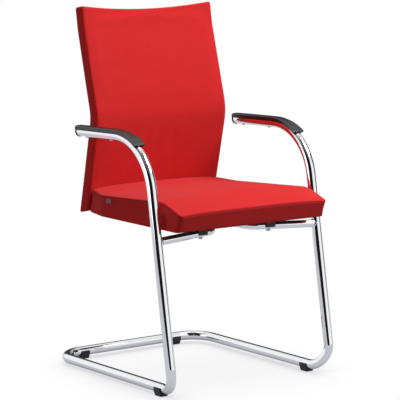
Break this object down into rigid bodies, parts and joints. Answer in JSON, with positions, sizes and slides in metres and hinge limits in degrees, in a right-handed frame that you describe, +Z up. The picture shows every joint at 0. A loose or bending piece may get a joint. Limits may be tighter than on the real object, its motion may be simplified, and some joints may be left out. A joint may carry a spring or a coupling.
{
  "type": "conference chair",
  "caption": "Cantilever conference chair with a bent chromed tube frame, an upholstered red seat and kinked back, and black moulded armpads.",
  "frame": {"origin": "on the floor, below the middle of the chair's bounding box", "axes": "+Z up; the chair faces -Y; +X is the sitter's left-right axis, positive at the right-hand side seen from the front"},
  "size_m": [0.5422, 0.5682, 0.9475],
  "materials": {
    "chrome": "mirror-bright chrome plate",
    "zinc_steel": "zinc plated",
    "black_steel": "black powder coat",
    "black_plastic": "fine matt moulding",
    "pad_plastic": "satin moulding",
    "red_fabric": "fine flat weave",
    "foam": "open-cell foam",
    "plywood": "raw beech plywood",
    "liner_fabric": "non-woven liner",
    "tag_metal": "plain satin plate"
  },
  "bodies": {
    "root": {"frame_tube_left": "chrome", "frame_tube_right": "chrome", "frame_joint_sleeve": "zinc_steel", "seat_bearer_left": "chrome", "seat_bearer_right": "chrome", "bearer_plug_left": "black_plastic", "bearer_plug_right": "black_plastic", "glide_front_left": "black_plastic", "glide_front_right": "black_plastic", "glide_rear_left": "black_plastic", "glide_rear_right": "black_plastic", "armpad_left": "pad_plastic", "armpad_right": "pad_plastic", "armpad_screw_left_front": "zinc_steel", "armpad_screw_left_rear": "zinc_steel", "armpad_screw_right_front": "zinc_steel", "armpad_screw_right_rear": "zinc_steel", "seat_cover": "red_fabric", "seat_foam": "foam", "seat_board": "plywood", "seat_underside": "liner_fabric", "seat_tag": "tag_metal", "seat_saddle_front_left": "black_plastic", "seat_saddle_front_right": "black_plastic", "seat_saddle_rear_left": "black_plastic", "seat_saddle_rear_right": "black_plastic", "seat_bolt_front_left": "zinc_steel", "seat_bolt_front_right": "zinc_steel", "seat_bolt_rear_left": "zinc_steel", "seat_bolt_rear_right": "zinc_steel", "seat_tnut_front_left": "zinc_steel", "seat_tnut_front_right": "zinc_steel", "seat_tnut_rear_left": "zinc_steel", "seat_tnut_rear_right": "zinc_steel", "back_cover": "red_fabric", "back_foam_front": "foam", "back_shell": "plywood", "back_foam_rear": "foam", "back_bracket_left": "black_steel", "back_bracket_right": "black_steel", "seat_screw_left_front": "zinc_steel", "seat_screw_left_rear": "zinc_steel", "seat_screw_right_front": "zinc_steel", "seat_screw_right_rear": "zinc_steel", "back_screw_left_upper": "zinc_steel", "back_screw_left_lower": "zinc_steel", "back_screw_right_upper": "zinc_steel", "back_screw_right_lower": "zinc_steel"}
  },
  "joints": []
}
